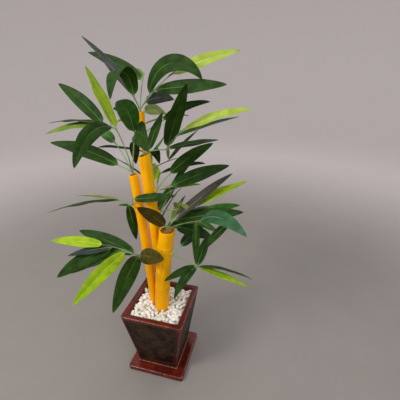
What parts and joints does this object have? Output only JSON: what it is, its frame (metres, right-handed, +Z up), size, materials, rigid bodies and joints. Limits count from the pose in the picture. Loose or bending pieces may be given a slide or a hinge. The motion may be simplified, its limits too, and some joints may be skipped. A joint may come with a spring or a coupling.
{
  "type": "artificial potted bamboo",
  "caption": "Artificial bamboo: cut yellow canes with sprays of plastic leaves, standing in white gravel in a square tapered glazed pot on a foot plate.",
  "frame": {"origin": "middle of the foot plate's flat underside, where the pot stands", "axes": "+Z up along the pot's height; X and Y along the pot's sides, -Y towards the viewer of the picture"},
  "size_m": [0.4671, 0.4268, 0.7675],
  "materials": {
    "glaze": "glossy red-brown glaze, darker over the embossed side panels",
    "white_stone": "crushed white stone, matt",
    "painted_cane": "yellow enamel paint on dried cane, semi-gloss",
    "leaf": "plastic-coated cloth leaves in lime, green, olive, dark green and grey-green"
  },
  "bodies": {
    "root": {"foot_plate": "glaze", "pot": "glaze", "gravel": "white_stone", "cane_front": "painted_cane", "cane_left": "painted_cane", "cane_middle": "painted_cane", "cane_tall": "painted_cane", "spray_top": "leaf", "spray_middle": "leaf", "spray_right": "leaf", "spray_left_top": "leaf", "spray_left_node": "leaf", "spray_front": "leaf", "spray_low_right": "leaf", "spray_low_left": "leaf", "spray_back_top": "leaf", "spray_back_upper": "leaf", "spray_back_middle": "leaf", "spray_back_right": "leaf", "spray_back_low": "leaf"}
  },
  "joints": []
}
